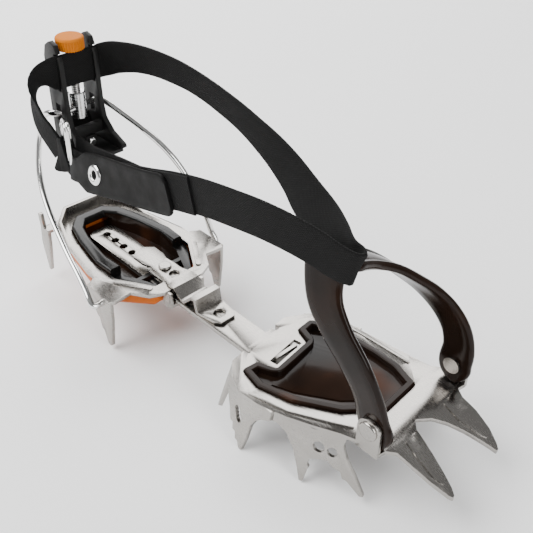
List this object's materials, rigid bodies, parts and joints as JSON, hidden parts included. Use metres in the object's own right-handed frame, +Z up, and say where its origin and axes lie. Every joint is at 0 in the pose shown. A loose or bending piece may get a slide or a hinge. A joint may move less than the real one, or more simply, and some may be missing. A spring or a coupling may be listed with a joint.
{
  "type": "mountaineering crampon",
  "caption": "Steel climbing crampon in a toe and a heel section on a sliding bar, with flexible toe arms, an ankle strap, and a wire bail with a snap lever at the heel.",
  "frame": {"origin": "on the ground below the middle of the part's box", "axes": "+X towards the toe along the centre bar, +Z up, -Y the side with the strap's tab"},
  "size_m": [0.3068, 0.1086, 0.165],
  "materials": {
    "stainless": "satin stamped stainless sheet",
    "wire": "bright drawn wire",
    "black_abs": "black semi-gloss moulding",
    "brown_tpu": "dark brown glossy flexible moulding",
    "orange_abs": "orange moulding",
    "webbing": "black woven webbing",
    "tab": "smooth coated pull tab",
    "lever_plastic": "fine-grained black moulding",
    "steel_dark": "plain steel pin and rod"
  },
  "bodies": {
    "toe_section": {"front_frame": "stainless", "front_antiball_plate": "black_abs", "toe_rivets": "stainless"},
    "near_arm": {"near_toe_arm": "brown_tpu"},
    "far_arm": {"far_toe_arm": "brown_tpu"},
    "bar": {"centre_bar": "stainless"},
    "heel_section": {"heel_frame": "stainless", "heel_antiball_plate": "black_abs", "heel_base": "orange_abs", "lock_rivet": "stainless"},
    "lock": {"lock_plate": "stainless", "lock_pin": "steel_dark"},
    "bail": {"heel_bail": "wire"},
    "barrel": {"pivot_barrel": "steel_dark"},
    "lever": {"heel_lever": "lever_plastic", "claw_screw": "wire", "strap_rear_loop": "webbing"},
    "wheel": {"thumb_wheel": "orange_abs", "adjuster_rod": "steel_dark"},
    "buckle": {"strap_buckle_span": "webbing", "strap_tab": "tab", "tab_eyelet": "wire"},
    "upper_ring": {"upper_d_ring": "wire"},
    "lower_ring": {"lower_d_ring": "wire"},
    "strap_middle": {"strap_middle_span": "webbing", "strap_tail": "webbing"},
    "strap_toe": {"strap_toe_span": "webbing"},
    "strap_front": {"strap_front_wrap": "webbing"}
  },
  "joints": [
    {"name": "near_arm_swing", "type": "hinge", "parent": "toe_section", "child": "near_arm", "pos_m": [0.11232, 0.01586, 0.04796], "axis": [0, 1, 0], "range_deg": [-22, 15]},
    {"name": "far_arm_swing", "type": "hinge", "parent": "toe_section", "child": "far_arm", "pos_m": [0.11232, 0.01586, 0.04796], "axis": [0, 1, 0], "range_deg": [-22, 15]},
    {"name": "bar_tilt", "type": "hinge", "parent": "toe_section", "child": "bar", "pos_m": [0.03962, -0.00534, 0.03346], "axis": [0, 1, 0], "range_deg": [-1.5, 1.5]},
    {"name": "heel_slide", "type": "slide", "parent": "bar", "child": "heel_section", "axis": [1, 0, 0], "range_m": [-0.0368, 0.0092]},
    {"name": "lock_lift", "type": "hinge", "parent": "heel_section", "child": "lock", "pos_m": [-0.06038, -0.00534, 0.03976], "axis": [0, 1, 0], "range_deg": [-4, 0], "stiffness_Nm_per_rad": 0.5},
    {"name": "bail_swing", "type": "hinge", "parent": "heel_section", "child": "bail", "pos_m": [-0.06788, -0.00534, 0.03096], "axis": [0, 1, 0], "range_deg": [-8, 25]},
    {"name": "lever_swing", "type": "hinge", "parent": "bail", "child": "barrel", "pos_m": [-0.13738, -0.00534, 0.11846], "axis": [0, 1, 0], "range_deg": [-100, 10]},
    {"name": "height_adjust", "type": "slide", "parent": "barrel", "child": "lever", "axis": [0, 0, 1], "range_m": [-0.003, 0.003]},
    {"name": "wheel_spin", "type": "hinge", "parent": "lever", "child": "wheel", "pos_m": [-0.13738, -0.00534, 0.11846], "axis": [0, 0, 1], "range_deg": [-725, 725]},
    {"name": "strap_rear_bend", "type": "hinge", "parent": "lever", "child": "buckle", "pos_m": [-0.13738, -0.00534, 0.11846], "axis": [0, 1, 0], "range_deg": [-10.5, 100.5], "deforming": ["strap_rear_loop", "strap_buckle_span", "strap_tab", "tab_eyelet"]},
    {"name": "upper_ring_swing", "type": "hinge", "parent": "buckle", "child": "upper_ring", "pos_m": [-0.12188, -0.02584, 0.10646], "axis": [0, 1, 0], "range_deg": [-12.5, 12.5]},
    {"name": "lower_ring_swing", "type": "hinge", "parent": "buckle", "child": "lower_ring", "pos_m": [-0.12438, -0.02584, 0.10306], "axis": [0, 1, 0], "range_deg": [-12, 12]},
    {"name": "strap_middle_bend", "type": "hinge", "parent": "buckle", "child": "strap_middle", "pos_m": [-0.06788, -0.00534, 0.03096], "axis": [0, 1, 0], "range_deg": [-25.5, 8.5], "deforming": ["strap_middle_span", "strap_tail"]},
    {"name": "strap_slack", "type": "slide", "parent": "strap_middle", "child": "strap_toe", "axis": [1, 0, 0], "range_m": [-0.0093, 0.0369], "deforming": ["strap_toe_span"]},
    {"name": "strap_front_bend", "type": "hinge", "parent": "strap_toe", "child": "strap_front", "pos_m": [0.11232, 0.01586, 0.04796], "axis": [0, 1, 0], "range_deg": [-22.5, 15.5], "deforming": ["strap_front_wrap"]}
  ],
  "couplings": [
    {"joint": "far_arm_swing", "follows": "near_arm_swing", "ratio": 1},
    {"joint": "strap_front_bend", "follows": "near_arm_swing", "ratio": 1},
    {"joint": "wheel_spin", "follows": "height_adjust", "rad_per_m": 4188.8},
    {"joint": "strap_rear_bend", "follows": "lever_swing", "ratio": -1},
    {"joint": "strap_middle_bend", "follows": "bail_swing", "ratio": -1},
    {"joint": "strap_slack", "follows": "heel_slide", "ratio": -1},
    {"joint": "upper_ring_swing", "follows": "lower_ring_swing", "ratio": 1}
  ]
}
